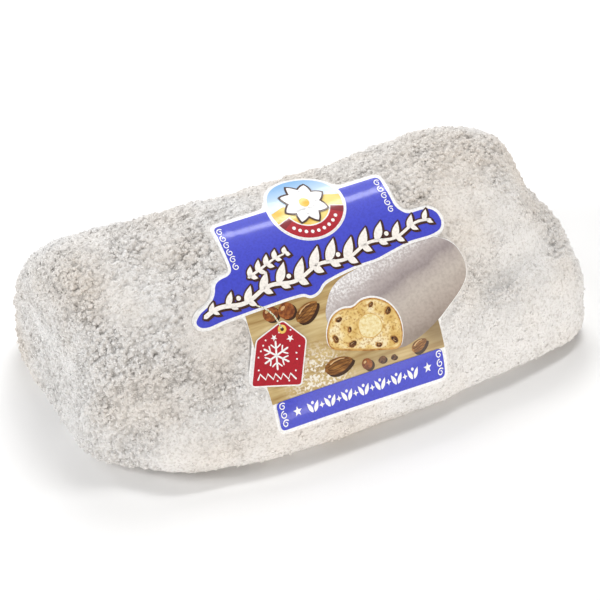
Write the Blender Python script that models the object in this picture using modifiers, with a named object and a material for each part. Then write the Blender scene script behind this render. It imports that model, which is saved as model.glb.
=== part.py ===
# Stollen: a long folded loaf under a thick coat of sugar, with a die-cut paper label
# lying over its front. Lengths are in millimetres until the last step, which scales
# everything to metres. X runs along the loaf, the folded lip is on the -Y side and
# the loaf stands on Z = 0.
import math

import bmesh
import bpy
import numpy as np
from mathutils import Matrix, Vector, noise

MM = 0.001

# The dough was rolled out and folded: a tall main hump at the back, a low lip in front.
# Each lobe is a rounded box with an arched section. "square" is how blunt an end is.
MAIN_HUMP = {
    "half_length": 87.3, "half_width": 43.6, "rise": 51.0, "belly": 14.5,
    "centre_x": -2.6, "centre_y": 7.9, "right_square": 6.65, "left_square": 9.4,
    "arch": 1.74, "tilt": 0.03, "drift": -0.03, "bow": 5.3,
}
FOLDED_LIP = {
    "half_length": 92.0, "half_width": 36.0, "rise": 27.6, "belly": 9.3,
    "centre_x": 3.2, "centre_y": -11.6, "right_square": 5.0, "left_square": 2.35,
    "arch": 2.14, "tilt": 0.42, "drift": 0.05, "bow": 0.0,
}
SEAM_BLEND = 2.5
LABEL_BLEND = 16.0
LOBE_SCALE = 34.0

# The loaf starts as a box of quads that is blown out onto the folded form.
BOX_HALF_LENGTH = 95.0
BOX_HALF_WIDTH = 52.0
BOX_HEIGHT = 66.0
BOX_CELLS = (46, 24, 16)
SPINE_HALF_LENGTH = 50.0

# Large swells and hollows in the dough: path points, reach and height.
DOUGH_FORMS = [
    ([(-40, -7, 60), (-70, -1, 61)], 8.0, -2.0),
    ([(59, -5, 62), (67, -3, 62)], 9.0, -1.8),
    ([(-36, -26, 43), (-64, -22, 44)], 8.0, 1.6),
    ([(54, -24, 47), (65, -19, 51)], 9.0, 1.8),
    ([(-74, -27, 34), (48, -33, 36), (79, -26, 39)], 5.0, -1.8),
    ([(-77, -2, 58), (-83, -15, 46), (-82, -25, 30), (-81, -30, 16)], 5.5, -1.8),
    ([(-16, -47, 10), (-66, -41, 12)], 9.0, 1.0),
    ([(50, 18, 62), (72, 12, 64)], 14.0, 1.5),
    ([(-90, 34, 5), (-87, -14, 6)], 10.0, 2.4),
    ([(90, -30, 5), (84, -38, 6)], 8.0, 1.2),
]
LUMP_SIZE = 21.0
LUMP_HEIGHT = 1.1
CRAG_SIZE = 8.5
CRAG_HEIGHT = 0.75
FOOT_FADE = 5.0

# The label lies on the front of the loaf. Its die-cut outline is drawn on a plane that
# leans back from the floor: U runs along the loaf and V runs up the slope.
LABEL_LEAN = math.radians(38)
LABEL_GAP = 0.3
LABEL_THICKNESS = 0.4
LABEL_CELL = 3.0
LABEL_AREA = (-57.0, 49.0, -34.0, 56.0)
BODY_LEFT = -35.0
BODY_RIGHT = 29.3
BODY_BOTTOM = -29.3
BODY_TOP = 43.1
CORNER_RADIUS = 3.0
BADGE = {"centre": (-0.6, 41.0), "half": (13.9, 11.2), "from": 169, "to": 11}
BANNER_RIGHT_END = [
    (BODY_RIGHT, 30.0), (31.8, 27.1), (35.8, 27.2), (39.8, 26.9), (42.6, 24.3),
    (43.3, 20.1), (41.2, 16.6), (37.9, 15.6),
]
PICTURE_BULGE = [
    (41.6, 14.0), (44.2, 10.6), (45.3, 4.7), (43.9, -0.3), (40.4, -3.7), (34.7, -7.6),
    (BODY_RIGHT, -11.2),
]
TAG_SIDE = [(BODY_LEFT, -13.7), (-39.2, -12.1), (-40.2, -10.2), (-35.3, 1.2), (BODY_LEFT, 3.6)]
BANNER_LEFT_END = [
    (BODY_LEFT, 10.3), (-42.7, 10.1), (-48.0, 9.4), (-51.8, 10.4), (-53.2, 13.8),
    (-50.7, 17.0), (-46.1, 18.2), (-43.5, 20.8), (-42.5, 23.9), (-39.7, 25.6),
    (BODY_LEFT, 25.6),
]
CUTTER_DEPTH = (2.0, 78.0)
SMOOTH_MARGIN = 2.5
SMOOTH_FADE = 6.0


def clear_scene():
    for scene_object in list(bpy.data.objects):
        bpy.data.objects.remove(scene_object, do_unlink=True)


def new_collection(name):
    collection = bpy.data.collections.new(name)
    bpy.context.scene.collection.children.link(collection)
    return collection


def new_material(name, colour, roughness):
    material = bpy.data.materials.new(name)
    material.use_nodes = True
    shader = material.node_tree.nodes["Principled BSDF"]
    shader.inputs["Base Color"].default_value = (*colour, 1.0)
    shader.inputs["Roughness"].default_value = roughness
    return material


def object_from_bmesh(mesh_builder, name, collection):
    bmesh.ops.recalc_face_normals(mesh_builder, faces=mesh_builder.faces)
    mesh = bpy.data.meshes.new(name)
    mesh_builder.to_mesh(mesh)
    mesh_builder.free()
    made = bpy.data.objects.new(name, mesh)
    collection.objects.link(made)
    return made


# Signed size of one lobe at each point: below zero inside the dough.
def lobe_field(points, lobe):
    along = (points[:, 0] - lobe["centre_x"]) / lobe["half_length"]
    blunt = np.clip(along * 2 + 0.5, 0, 1)
    square = lobe["left_square"] + (lobe["right_square"] - lobe["left_square"]) * blunt
    sideways = lobe["drift"] * (points[:, 0] - lobe["centre_x"])
    sideways = sideways + lobe["bow"] * (along ** 2 - 0.4)
    across = np.abs(points[:, 1] - lobe["centre_y"] - sideways) / lobe["half_width"]
    height = points[:, 2] - lobe["belly"]
    top = lobe["rise"] * (1 + lobe["tilt"] * along)
    arch = lobe["arch"]
    upper = (across ** arch + (np.maximum(height, 0) / top) ** arch) ** (1 / arch)
    drop = np.maximum(-height, 0) / (lobe["belly"] * 1.25)
    lower = (across ** 4 + drop ** 4) ** 0.25
    section = np.where(height > 0, upper, lower)
    size = (np.abs(along) ** square + section ** square) ** (1 / square)
    return (size - 1) * LOBE_SCALE


# Both lobes melted together. A wider blend fills the seam under the label.
def dough_field(points, blend):
    hump = lobe_field(points, MAIN_HUMP)
    lip = lobe_field(points, FOLDED_LIP)
    share = np.clip(0.5 + 0.5 * (lip - hump) / blend, 0, 1)
    return lip * (1 - share) + hump * share - blend * share * (1 - share)


# Walks each ray from inside the dough out to its surface.
def cast_to_dough(starts, directions, blend, far):
    near_end = np.zeros(len(starts))
    far_end = np.full(len(starts), far)
    for _ in range(24):
        middle = (near_end + far_end) / 2
        inside = dough_field(starts + directions * middle[:, None], blend) < 0
        near_end = np.where(inside, middle, near_end)
        far_end = np.where(inside, far_end, middle)
    return starts + directions * near_end[:, None]


def dough_normals(points, blend):
    step = 0.05
    slopes = []
    for axis in range(3):
        nudge = np.zeros(3)
        nudge[axis] = step
        rise = dough_field(points + nudge, blend) - dough_field(points - nudge, blend)
        slopes.append(rise)
    normals = np.stack(slopes, axis=1)
    return normals / np.linalg.norm(normals, axis=1)[:, None]


def label_axes():
    along = np.array([1.0, 0.0, 0.0])
    up_slope = np.array([0.0, math.cos(LABEL_LEAN), math.sin(LABEL_LEAN)])
    outward = np.array([0.0, -math.sin(LABEL_LEAN), math.cos(LABEL_LEAN)])
    return along, up_slope, outward


def distance_to_segment(points, start, end):
    start = np.array(start, dtype=float)
    end = np.array(end, dtype=float)
    run = end - start
    share = np.clip((points - start) @ run / (run @ run), 0, 1)
    return np.linalg.norm(points - start - share[:, None] * run, axis=1)


# The die-cut edge of the label, going round from the top left corner of its body.
def label_corners():
    corners = [(BODY_LEFT, BODY_TOP)]
    for step in range(8):
        angle = math.radians(BADGE["from"] + (BADGE["to"] - BADGE["from"]) * step / 7)
        u = BADGE["centre"][0] + BADGE["half"][0] * math.cos(angle)
        v = BADGE["centre"][1] + BADGE["half"][1] * math.sin(angle)
        corners.append((u, v))
    corners += [(BODY_RIGHT, BODY_TOP)]
    corners += BANNER_RIGHT_END + PICTURE_BULGE
    corners += [(BODY_RIGHT, BODY_BOTTOM), (BODY_LEFT, BODY_BOTTOM)]
    corners += TAG_SIDE + BANNER_LEFT_END
    return corners


# Each corner becomes a short curve that starts at most one radius away from it.
def rounded_outline(corners):
    outline = []
    for index, corner in enumerate(corners):
        corner = Vector(corner)
        before = Vector(corners[index - 1]) - corner
        after = Vector(corners[(index + 1) % len(corners)]) - corner
        start = corner + before.normalized() * min(CORNER_RADIUS, 0.4 * before.length)
        end = corner + after.normalized() * min(CORNER_RADIUS, 0.4 * after.length)
        middle = start * 0.25 + corner * 0.5 + end * 0.25
        outline += [start, middle, end]
    return outline


# One under the label, fading to zero a little way outside its outline.
def label_cover(points):
    along, up_slope, outward = label_axes()
    flat = np.stack([points @ along, points @ up_slope], axis=1)
    corners = np.array(label_corners())
    inside = np.zeros(len(flat), dtype=bool)
    distance = np.full(len(flat), 1000.0)
    for start, end in zip(corners, np.roll(corners, -1, axis=0)):
        distance = np.minimum(distance, distance_to_segment(flat, start, end))
        spans = (start[1] > flat[:, 1]) != (end[1] > flat[:, 1])
        rise = end[1] - start[1] if end[1] != start[1] else 1.0
        crossing = start[0] + (flat[:, 1] - start[1]) * (end[0] - start[0]) / rise
        inside ^= spans & (flat[:, 0] < crossing)
    distance = np.where(inside, 0.0, distance)
    cover = np.clip(1 - (distance - SMOOTH_MARGIN) / SMOOTH_FADE, 0, 1)
    cover = cover * cover * (3 - 2 * cover)
    return np.where(points @ outward > 5.0, cover, 0.0)


def crust_relief(point):
    height = 0.0
    for path, reach, rise in DOUGH_FORMS:
        cloud = np.array([point])
        gaps = [distance_to_segment(cloud, a, b)[0] for a, b in zip(path, path[1:])]
        height += rise * math.exp(-((min(gaps) / reach) ** 2))
    spot = Vector(point)
    height += LUMP_HEIGHT * noise.noise(spot / LUMP_SIZE)
    height += CRAG_HEIGHT * noise.noise(spot / CRAG_SIZE + Vector((7.0, 3.0, 1.0)))
    return height


def edges_along(mesh_builder, axis):
    picked = []
    for edge in mesh_builder.edges:
        run = edge.verts[1].co - edge.verts[0].co
        if abs(run[axis]) > 0.99 * run.length:
            picked.append(edge)
    return picked


def make_loaf(collection):
    mesh_builder = bmesh.new()
    bmesh.ops.create_cube(mesh_builder, size=1.0)
    for vertex in mesh_builder.verts:
        vertex.co.x *= 2 * BOX_HALF_LENGTH
        vertex.co.y *= 2 * BOX_HALF_WIDTH
        vertex.co.z = (vertex.co.z + 0.5) * BOX_HEIGHT
    for axis in range(3):
        rows = edges_along(mesh_builder, axis)
        cuts = BOX_CELLS[axis] - 1
        bmesh.ops.subdivide_edges(mesh_builder, edges=rows, cuts=cuts, use_grid_fill=True)
    underside = [face for face in mesh_builder.faces if face.calc_center_median().z < 0.01]
    bmesh.ops.delete(mesh_builder, geom=underside, context='FACES')

    box = np.array([vertex.co[:] for vertex in mesh_builder.verts])
    starts = np.zeros_like(box)
    starts[:, 0] = np.clip(box[:, 0], -SPINE_HALF_LENGTH, SPINE_HALF_LENGTH)
    directions = box - starts
    directions = directions / np.linalg.norm(directions, axis=1)[:, None]
    bare = cast_to_dough(starts, directions, SEAM_BLEND, 130.0)
    filled = cast_to_dough(starts, directions, LABEL_BLEND, 130.0)
    cover = label_cover(bare)
    surface = bare + (filled - bare) * cover[:, None]
    normals = dough_normals(surface, SEAM_BLEND)
    for vertex, point, normal, hidden in zip(mesh_builder.verts, surface, normals, cover):
        relief = crust_relief(point) * (1 - hidden)
        placed = point + normal * relief
        if point[2] < 0.01:
            placed[2] = 0.0
        else:
            lift = min(1.0, point[2] / FOOT_FADE)
            placed = point + (placed - point) * (0.4 + 0.6 * lift)
            placed[2] = max(placed[2], 0.5)
        vertex.co = placed
    foot = [edge for edge in mesh_builder.edges if edge.is_boundary]
    bmesh.ops.holes_fill(mesh_builder, edges=foot, sides=0)
    bmesh.ops.triangulate(mesh_builder, faces=mesh_builder.faces)
    return object_from_bmesh(mesh_builder, "stollen_loaf", collection)


def label_to_space(u, v, depth):
    along, up_slope, outward = label_axes()
    return Vector(along * u + up_slope * v + outward * depth)


# A closed prism standing on a flat outline in the label's plane.
def make_prism(outline, name, collection):
    mesh_builder = bmesh.new()
    bmesh.ops.create_circle(mesh_builder, cap_ends=True, segments=len(outline), radius=1.0)
    mesh_builder.verts.ensure_lookup_table()
    for vertex, spot in zip(mesh_builder.verts, outline):
        vertex.co = label_to_space(spot[0], spot[1], CUTTER_DEPTH[0])
    pushed = bmesh.ops.extrude_face_region(mesh_builder, geom=list(mesh_builder.faces))
    moved = [item for item in pushed["geom"] if isinstance(item, bmesh.types.BMVert)]
    lift = label_to_space(0, 0, CUTTER_DEPTH[1] - CUTTER_DEPTH[0])
    bmesh.ops.translate(mesh_builder, verts=moved, vec=lift)
    prism = object_from_bmesh(mesh_builder, name, collection)
    prism.hide_render = True
    prism.display_type = 'WIRE'
    return prism


def make_label(collection, outline):
    low_u, high_u, low_v, high_v = LABEL_AREA
    columns = round((high_u - low_u) / LABEL_CELL)
    rows = round((high_v - low_v) / LABEL_CELL)
    mesh_builder = bmesh.new()
    bmesh.ops.create_grid(mesh_builder, x_segments=columns, y_segments=rows, size=1.0)
    along, up_slope, outward = label_axes()
    flat = np.array([vertex.co[:] for vertex in mesh_builder.verts])
    u = low_u + (flat[:, 0] + 1) / 2 * (high_u - low_u)
    v = low_v + (flat[:, 1] + 1) / 2 * (high_v - low_v)
    starts = u[:, None] * along + v[:, None] * up_slope + 8.0 * outward
    directions = np.tile(outward, (len(starts), 1))
    dough = cast_to_dough(starts, directions, LABEL_BLEND, 60.0)
    raised = dough + dough_normals(dough, LABEL_BLEND) * LABEL_GAP
    for vertex, point in zip(mesh_builder.verts, raised):
        vertex.co = point
    mesh = bpy.data.meshes.new("label")
    mesh_builder.to_mesh(mesh)
    mesh_builder.free()
    label = bpy.data.objects.new("label", mesh)
    collection.objects.link(label)
    paper = label.modifiers.new("paper_thickness", 'SOLIDIFY')
    paper.thickness = LABEL_THICKNESS
    paper.offset = 1.0
    paper.use_even_offset = True
    trim = label.modifiers.new("die_cut", 'BOOLEAN')
    trim.operation = 'INTERSECT'
    trim.object = outline
    trim.solver = 'EXACT'
    return label


# Puts the origin under the middle of the loaf and turns millimetres into metres.
def centre_on_floor(parts):
    bpy.context.view_layer.update()
    depsgraph = bpy.context.evaluated_depsgraph_get()
    spots = []
    for part in parts:
        evaluated = part.evaluated_get(depsgraph)
        spots.extend(vertex.co.copy() for vertex in evaluated.data.vertices)
    low = [min(spot[axis] for spot in spots) for axis in range(3)]
    high = [max(spot[axis] for spot in spots) for axis in range(3)]
    shift = Vector((-(low[0] + high[0]) / 2, -(low[1] + high[1]) / 2, -low[2]))
    for scene_object in bpy.data.objects:
        scene_object.data.transform(Matrix.Scale(MM, 4) @ Matrix.Translation(shift))
        for modifier in scene_object.modifiers:
            if modifier.type == 'SOLIDIFY':
                modifier.thickness *= MM


clear_scene()
stollen = new_collection("stollen")
cutters = new_collection("cutters")
loaf = make_loaf(stollen)
label_outline = make_prism(rounded_outline(label_corners()), "label_die", cutters)
label = make_label(stollen, label_outline)
centre_on_floor([loaf, label])
loaf.data.materials.append(new_material("sugar_crust", (0.80, 0.78, 0.76), 0.9))
label.data.materials.append(new_material("printed_paper", (0.09, 0.11, 0.56), 0.35))
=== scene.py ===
import math
import bpy
import numpy as np
from mathutils import Matrix, Vector, noise
from mathutils.bvhtree import BVHTree


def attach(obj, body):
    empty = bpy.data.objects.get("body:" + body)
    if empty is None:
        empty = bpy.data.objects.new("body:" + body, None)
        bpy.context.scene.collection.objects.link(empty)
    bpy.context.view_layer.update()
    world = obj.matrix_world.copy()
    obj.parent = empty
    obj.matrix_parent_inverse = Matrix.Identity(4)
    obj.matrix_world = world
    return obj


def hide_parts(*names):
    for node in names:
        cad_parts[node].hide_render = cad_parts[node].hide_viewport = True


# A whole stollen under a thick coat of sugar, with a die-cut paper label on its front.
# Lengths in the dictionaries are millimetres; the meshes are in metres.
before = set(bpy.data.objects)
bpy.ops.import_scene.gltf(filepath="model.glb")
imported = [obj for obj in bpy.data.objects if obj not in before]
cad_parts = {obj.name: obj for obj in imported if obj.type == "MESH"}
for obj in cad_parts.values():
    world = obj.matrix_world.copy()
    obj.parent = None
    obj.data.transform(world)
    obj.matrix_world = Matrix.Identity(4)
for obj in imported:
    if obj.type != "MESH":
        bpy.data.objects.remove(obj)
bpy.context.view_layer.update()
mm = 0.001
scene = bpy.context.scene
print("frame loaded")


# small tools
def linearColour(hexText):
    channels = [int(hexText[i:i + 2], 16) / 255 for i in (1, 3, 5)]
    linear = [c / 12.92 if c <= 0.04045 else ((c + 0.055) / 1.055) ** 2.4 for c in channels]
    return (*linear, 1.0)


def darker(hexText, share):
    return "#" + "".join(f"{round(int(hexText[i:i + 2], 16) * share):02X}" for i in (1, 3, 5))


# one shader node: an input is an output to link, a hex colour or a number
def addNode(tree, kind, inputs, output=0, stops=(), **settings):
    node = tree.nodes.new("ShaderNode" + kind)
    for name, value in settings.items():
        setattr(node, name, value)
    for name, value in inputs.items():
        if isinstance(value, bpy.types.NodeSocket):
            tree.links.new(value, node.inputs[name])
        else:
            colour = isinstance(value, str)
            node.inputs[name].default_value = linearColour(value) if colour else value
    for index, (place, hexText) in enumerate(stops):
        elements = node.color_ramp.elements
        element = elements[index] if index < 2 else elements.new(place)
        element.position = place
        element.color = linearColour(hexText)
    return node.outputs[output]


# sockets 6 and 7 of a colour Mix node are its colours, and its output 2 is the result
mixing = {"output": 2, "data_type": 'RGBA'}
multiplying = {"output": 2, "data_type": 'RGBA', "blend_type": 'MULTIPLY'}


def newMaterial(name, **sockets):
    material = bpy.data.materials.new(name)
    material.use_nodes = True
    shader = material.node_tree.nodes["Principled BSDF"]
    for socket, value in sockets.items():
        shader.inputs[socket.replace("_", " ")].default_value = value
    return material, material.node_tree, shader


# colours spread by a grain of the given size, which "length" and "turn" may make long
def grainColours(tree, place, size, stops, detail=3.0, length=1, turn=0):
    scaled = addNode(tree, "Mapping", {
        "Vector": place, "Scale": (1 / (size * length), 1 / size, 1 / size),
        "Rotation": (0, 0, math.radians(turn))})
    grain = addNode(tree, "TexNoise", {"Vector": scaled, "Scale": 1.0, "Detail": detail})
    return addNode(tree, "ValToRGB", {"Fac": grain}, stops=stops)


def onlyActive(piece):
    bpy.ops.object.select_all(action='DESELECT')
    piece.select_set(True)
    bpy.context.view_layer.objects.active = piece


def applyModifier(piece, kind, **settings):
    onlyActive(piece)
    modifier = piece.modifiers.new(kind.lower(), kind)
    for name, value in settings.items():
        setattr(modifier, name, value)
    bpy.ops.object.modifier_apply(modifier=modifier.name)


def valuesOf(items, name, width):
    flat = np.empty(len(items) * width)
    items.foreach_get(name, flat)
    return flat.reshape(-1, width) if width > 1 else flat


def positionsOf(piece):
    return valuesOf(piece.data.vertices, "co", 3)


def setPositions(piece, positions):
    piece.data.vertices.foreach_set("co", positions.reshape(-1))
    piece.data.update()


def trianglesOf(piece):
    return sum(len(face.vertices) - 2 for face in piece.data.polygons)


def shadeSmooth(piece):
    onlyActive(piece)
    bpy.ops.object.shade_smooth()


def copyOfNode(nodeName, pieceName):
    piece = bpy.data.objects.new(pieceName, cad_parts[nodeName].data.copy())
    bpy.context.collection.objects.link(piece)
    piece.data.materials.clear()
    onlyActive(piece)
    bpy.ops.object.mode_set(mode='EDIT')
    bpy.ops.mesh.select_all(action='SELECT')
    bpy.ops.mesh.remove_doubles(threshold=0.005 * mm)
    bpy.ops.object.mode_set(mode='OBJECT')
    return piece


# where the label lies: a plane that leans back over the front of the loaf
labelPlane = {
    "lean": 38,                      # degrees from the floor
    "zero": (-1.47, -2.76),          # the artwork's zero in the loaf's frame, x and y
    "covers": 5,                     # only crust this far out of the plane's zero is under it
    "guideArea": (-59, 51, -33.5, 55.2),
    "guideCell": 1.6,
    "guideHeight": 100,              # how far out its grid starts
    "guideSmoothing": 20,
}
lean = math.radians(labelPlane["lean"])
alongLabel = Vector((1, 0, 0))
upLabel = Vector((0, math.cos(lean), math.sin(lean)))
outOfLabel = Vector((0, -math.sin(lean), math.cos(lean)))
labelZero = Vector((*labelPlane["zero"], 0)) * mm

# the die-cut edge, anticlockwise from its bottom left corner, with a round top for the seal
sealTop = {"centre": (-0.6, 41.0), "reach": (13.9, 11.2), "start": 11, "sweep": 158, "points": 8}
sealArc = []
for step in range(sealTop["points"]):
    angle = math.radians(sealTop["start"] + sealTop["sweep"] * step / (sealTop["points"] - 1))
    sealArc.append((sealTop["centre"][0] + sealTop["reach"][0] * math.cos(angle),
                    sealTop["centre"][1] + sealTop["reach"][1] * math.sin(angle)))
dieCut = [
    (-35.0, -29.3), (29.3, -29.3), (29.3, -11.2), (34.7, -7.6), (40.4, -3.7), (43.9, -0.3),
    (45.3, 4.7), (44.2, 10.6), (41.6, 14.0), (37.9, 15.6), (41.2, 16.6), (43.3, 20.1),
    (42.6, 24.3), (39.8, 26.9), (35.8, 27.2), (31.8, 27.1), (29.3, 30.0), (29.3, 43.1),
    *sealArc,
    (-35.0, 43.1), (-35.0, 25.6), (-39.7, 25.6), (-42.5, 23.9), (-43.5, 20.8), (-46.1, 18.2),
    (-50.7, 17.0), (-53.2, 13.8), (-51.8, 10.4), (-48.0, 9.4), (-42.7, 10.1), (-35.0, 10.3),
    (-35.0, 3.6), (-35.3, 1.2), (-40.2, -10.2), (-39.2, -12.1), (-35.0, -13.7),
]


# 0 under the label and up to "margin" from its edge, 1 from "fade" beyond that
def clearOfLabel(points, margin, fade):
    local = points - np.array(labelZero)
    flat = np.stack([local @ np.array(alongLabel), local @ np.array(upLabel)], 1) / mm
    outline = np.array(dieCut)
    inside = np.zeros(len(flat), dtype=bool)
    distance = np.full(len(flat), 1000.0)
    for start, end in zip(outline, np.roll(outline, -1, axis=0)):
        run = end - start
        share = np.clip((flat - start) @ run / (run @ run), 0, 1)
        gap = np.linalg.norm(flat - start - share[:, None] * run, axis=1)
        distance = np.minimum(distance, gap)
        if start[1] != end[1]:
            spans = (start[1] > flat[:, 1]) != (end[1] > flat[:, 1])
            slope = (end[0] - start[0]) / (end[1] - start[1])
            inside ^= spans & (flat[:, 0] < start[0] + (flat[:, 1] - start[1]) * slope)
    clear = np.where(inside, 0, np.clip((distance - margin) / fade, 0, 1))
    return np.where(local @ np.array(outOfLabel) > labelPlane["covers"] * mm, clear, 1.0)


# sugar crust
crust = {
    "cell": 0.6,              # distance between the points of its mesh
    "triangles": 192000,      # the flat places under the label give theirs up first
    "facetSmoothing": 12,
    "lumps": {"size": 6.0, "height": 1.8},
    "clumps": {"size": 1.8, "height": 2.0},
    "grit": {"size": 1.0, "height": 1.5},
    "labelMargin": (0.3, 1.4),
    "footHeight": 2.0,        # the relief grows in over this height above the board
    "footFlat": 0.25,         # anything lower lies on the board
    "calmest": 0.12,          # relief where the sugar was patted smooth
    "calmShare": 0.95, "calmFade": 1.5,
    "patches": {"size": 16.0, "mean": 0.85, "swing": 0.9, "range": (0.25, 1.15)},
    # where it was patted smooth: x, y, z and reach
    "calmSpots": [
        (-44, -24, 49, 8), (-52, -26, 45, 6), (-58, -48, 8, 12), (-40, -50, 9, 13),
        (-22, -50, 8, 15), (2, -50, 6, 16), (26, -48, 6, 18), (50, -46, 14, 21),
        (72, -44, 20, 20), (68, -30, 40, 13), (62, -22, 51, 11), (40, -46, 22, 18),
        (88, -20, 12, 18), (48, -18, 57, 8), (50, -26, 49, 9), (60, -17, 56, 7),
        (75, 12, 60, 8), (-68, -44, 11, 12),
    ],
    # the relief's hollows are darkened by painted shade, with some dough showing through
    "hollowBelow": 0.2, "hollowDepth": 0.9,
    # 'loose' is greyer than 'patted' partly as painted shade among the lumps, partly for thinner
    # sugar
    "patted": "#EFEEED", "loose": "#E7E5E3", "hollowShade": "#A8A5A2",
    "warmth": {"size": 38, "colour": "#FAF5EF"},
    "speck": {"size": 0.9, "colour": "#CFCBC6", "share": 0.5},
    "grain": {"size": 0.6, "depth": 0.55},
}


def displaceBy(piece, kind, settings, middle, direction=1):
    texture = bpy.data.textures.new("sugar relief", kind)
    texture.noise_scale = settings["size"] * mm
    if kind == 'CLOUDS':
        texture.noise_depth = 1
    applyModifier(piece, 'DISPLACE', texture=texture, texture_coords='LOCAL', mid_level=middle,
                  vertex_group="relief", strength=direction * settings["height"] * mm)


# 1 where the sugar is loose and lumpy, down to "calmest" where it was patted smooth
def roughnessOf(places):
    rough = np.ones(len(places))
    for *centre, reach in crust["calmSpots"]:
        distance = np.linalg.norm(places / mm - np.array(centre), axis=1) / reach
        calm = np.clip(crust["calmFade"] - distance, 0, 1)
        rough = np.minimum(rough, 1 - crust["calmShare"] * calm)
    patches = crust["patches"]
    wander = np.array([noise.noise(Vector(place) / (patches["size"] * mm)) for place in places])
    rough *= np.clip(patches["mean"] + patches["swing"] * wander, *patches["range"])
    return crust["calmest"] + (1 - crust["calmest"]) * np.clip(rough, 0, 1)


# the face it stands on is flat and needs no mesh inside its edge
def flattenFoot(piece):
    places = positionsOf(piece)
    places[:, 2] = np.where(places[:, 2] < crust["footFlat"] * mm, 0.0, places[:, 2])
    setPositions(piece, places)
    onlyActive(piece)
    bpy.ops.object.mode_set(mode='EDIT')
    bpy.ops.mesh.select_all(action='DESELECT')
    bpy.ops.object.mode_set(mode='OBJECT')
    for face in piece.data.polygons:
        face.select = all(places[v, 2] == 0 for v in face.vertices)
    bpy.ops.object.mode_set(mode='EDIT')
    bpy.ops.mesh.delete(type='FACE')
    bpy.ops.mesh.select_all(action='SELECT')
    bpy.ops.mesh.fill_holes(sides=0)
    bpy.ops.object.mode_set(mode='OBJECT')


def makeCrust():
    piece = copyOfNode("stollen_loaf", "sugar_crust")
    applyModifier(piece, 'REMESH', mode='VOXEL', voxel_size=crust["cell"] * mm)
    applyModifier(piece, 'SMOOTH', factor=0.5, iterations=crust["facetSmoothing"])
    smooth = positionsOf(piece)
    normals = np.array([vertex.normal for vertex in piece.data.vertices])
    loose = roughnessOf(smooth)
    weights = clearOfLabel(smooth, *crust["labelMargin"]) * loose
    weights *= np.clip(smooth[:, 2] / (crust["footHeight"] * mm), 0, 1)
    group = piece.vertex_groups.new(name="relief")
    for index, weight in enumerate(weights):
        group.add([index], weight, 'REPLACE')
    displaceBy(piece, 'CLOUDS', crust["lumps"], 0.5)
    displaceBy(piece, 'VORONOI', crust["clumps"], 0.4, -1)
    displaceBy(piece, 'CLOUDS', crust["grit"], 0.5)
    # how far each point sank below the smooth form: the material paints shade there
    raised = ((positionsOf(piece) - smooth) * normals).sum(1) / mm
    hollowShade = np.clip((crust["hollowBelow"] - raised) / crust["hollowDepth"], 0, 1)
    for name, values in (("hollowShade", hollowShade), ("loose", loose)):
        piece.data.attributes.new(name, 'FLOAT', 'POINT').data.foreach_set("value", values)
    flattenFoot(piece)
    piece.vertex_groups.clear()
    applyModifier(piece, 'DECIMATE', ratio=min(1.0, crust["triangles"] / trianglesOf(piece)))
    thinned = positionsOf(piece)
    thinned[:, 2] = np.maximum(thinned[:, 2], 0.0)
    setPositions(piece, thinned)
    shadeSmooth(piece)
    return piece


# Icing sugar and fine crystals pressed into melted butter: dead matt, brightest where it
# was patted smooth, greyer where it lies loose (partly painted shade among the lumps, partly
# thinner sugar), darkened in its hollows by painted shade with some dough showing through,
# and faintly cream in broad patches where the baked dough shows through.
def makeSugarMaterial():
    material, tree, shader = newMaterial(
        "icing sugar, dusted and pressed", Roughness=0.95, Specular_IOR_Level=0.25)
    place = addNode(tree, "Mapping", {
        "Vector": addNode(tree, "TexCoord", {}, "Object"), "Scale": (1 / mm,) * 3})
    loose = addNode(tree, "Attribute", {}, "Fac", attribute_name="loose")
    hollowShade = addNode(tree, "Attribute", {}, "Fac", attribute_name="hollowShade")
    # greyer where the sugar is loose: partly painted shade among the lumps, partly thinner sugar
    colour = addNode(tree, "ValToRGB", {"Fac": loose},
                     stops=[(0.15, crust["patted"]), (0.95, crust["loose"])])
    warmth = grainColours(tree, place, crust["warmth"]["size"], [
        (0.34, crust["warmth"]["colour"]), (0.58, "#FFFFFF")], 2.0)
    colour = addNode(tree, "Mix", {0: 1.0, 6: colour, 7: warmth}, **multiplying)
    # painted shade in the relief's hollows, with some dough showing through
    depth = addNode(tree, "MapRange", {"Value": hollowShade, "From Min": 0.2, "From Max": 1.9})
    colour = addNode(tree, "Mix", {0: depth, 6: colour, 7: crust["hollowShade"]}, **mixing)
    speck = grainColours(tree, place, crust["speck"]["size"], [
        (0.34, crust["speck"]["colour"]), (0.50, "#FFFFFF")], 2.0)
    colour = addNode(tree, "Mix", {0: crust["speck"]["share"], 6: colour, 7: speck}, **multiplying)
    tree.links.new(colour, shader.inputs["Base Color"])
    grain = addNode(tree, "TexNoise", {
        "Vector": place, "Scale": 1 / crust["grain"]["size"], "Detail": 3.0})
    bump = addNode(tree, "Bump", {
        "Height": grain, "Strength": 1.0, "Distance": crust["grain"]["depth"] * mm})
    tree.links.new(bump, shader.inputs["Normal"])
    return material


sugarCrust = makeCrust()
sugarMaterial = makeSugarMaterial()
sugarCrust.data.materials.append(sugarMaterial)
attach(sugarCrust, "root")
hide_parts("stollen_loaf")
print("crust", trianglesOf(sugarCrust), "triangles")

# loose lumps and crystals that stick to the crust: how many, widths and how deep they sit
sugarLoose = {
    "sugar_lumps": {"count": 9500, "widths": (0.7, 1.5), "sunk": 0.1, "seed": 11},
    "sugar_crystals": {"count": 9500, "widths": (0.5, 0.9), "sunk": 0.0, "seed": 23},
    "sugar_grit": {"count": 9500, "widths": (0.4, 0.7), "sunk": -0.1, "seed": 37},
}
grains = {
    "labelMargin": (0.6, 0.4), "lowest": 1.3,
    "corners": (0.72, 1.28),      # how far a grain's corners stray from its radius
    "sides": (0.7, 1.15),
    "smallness": 1.6,             # above 1, small grains are the more common ones
}


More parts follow.
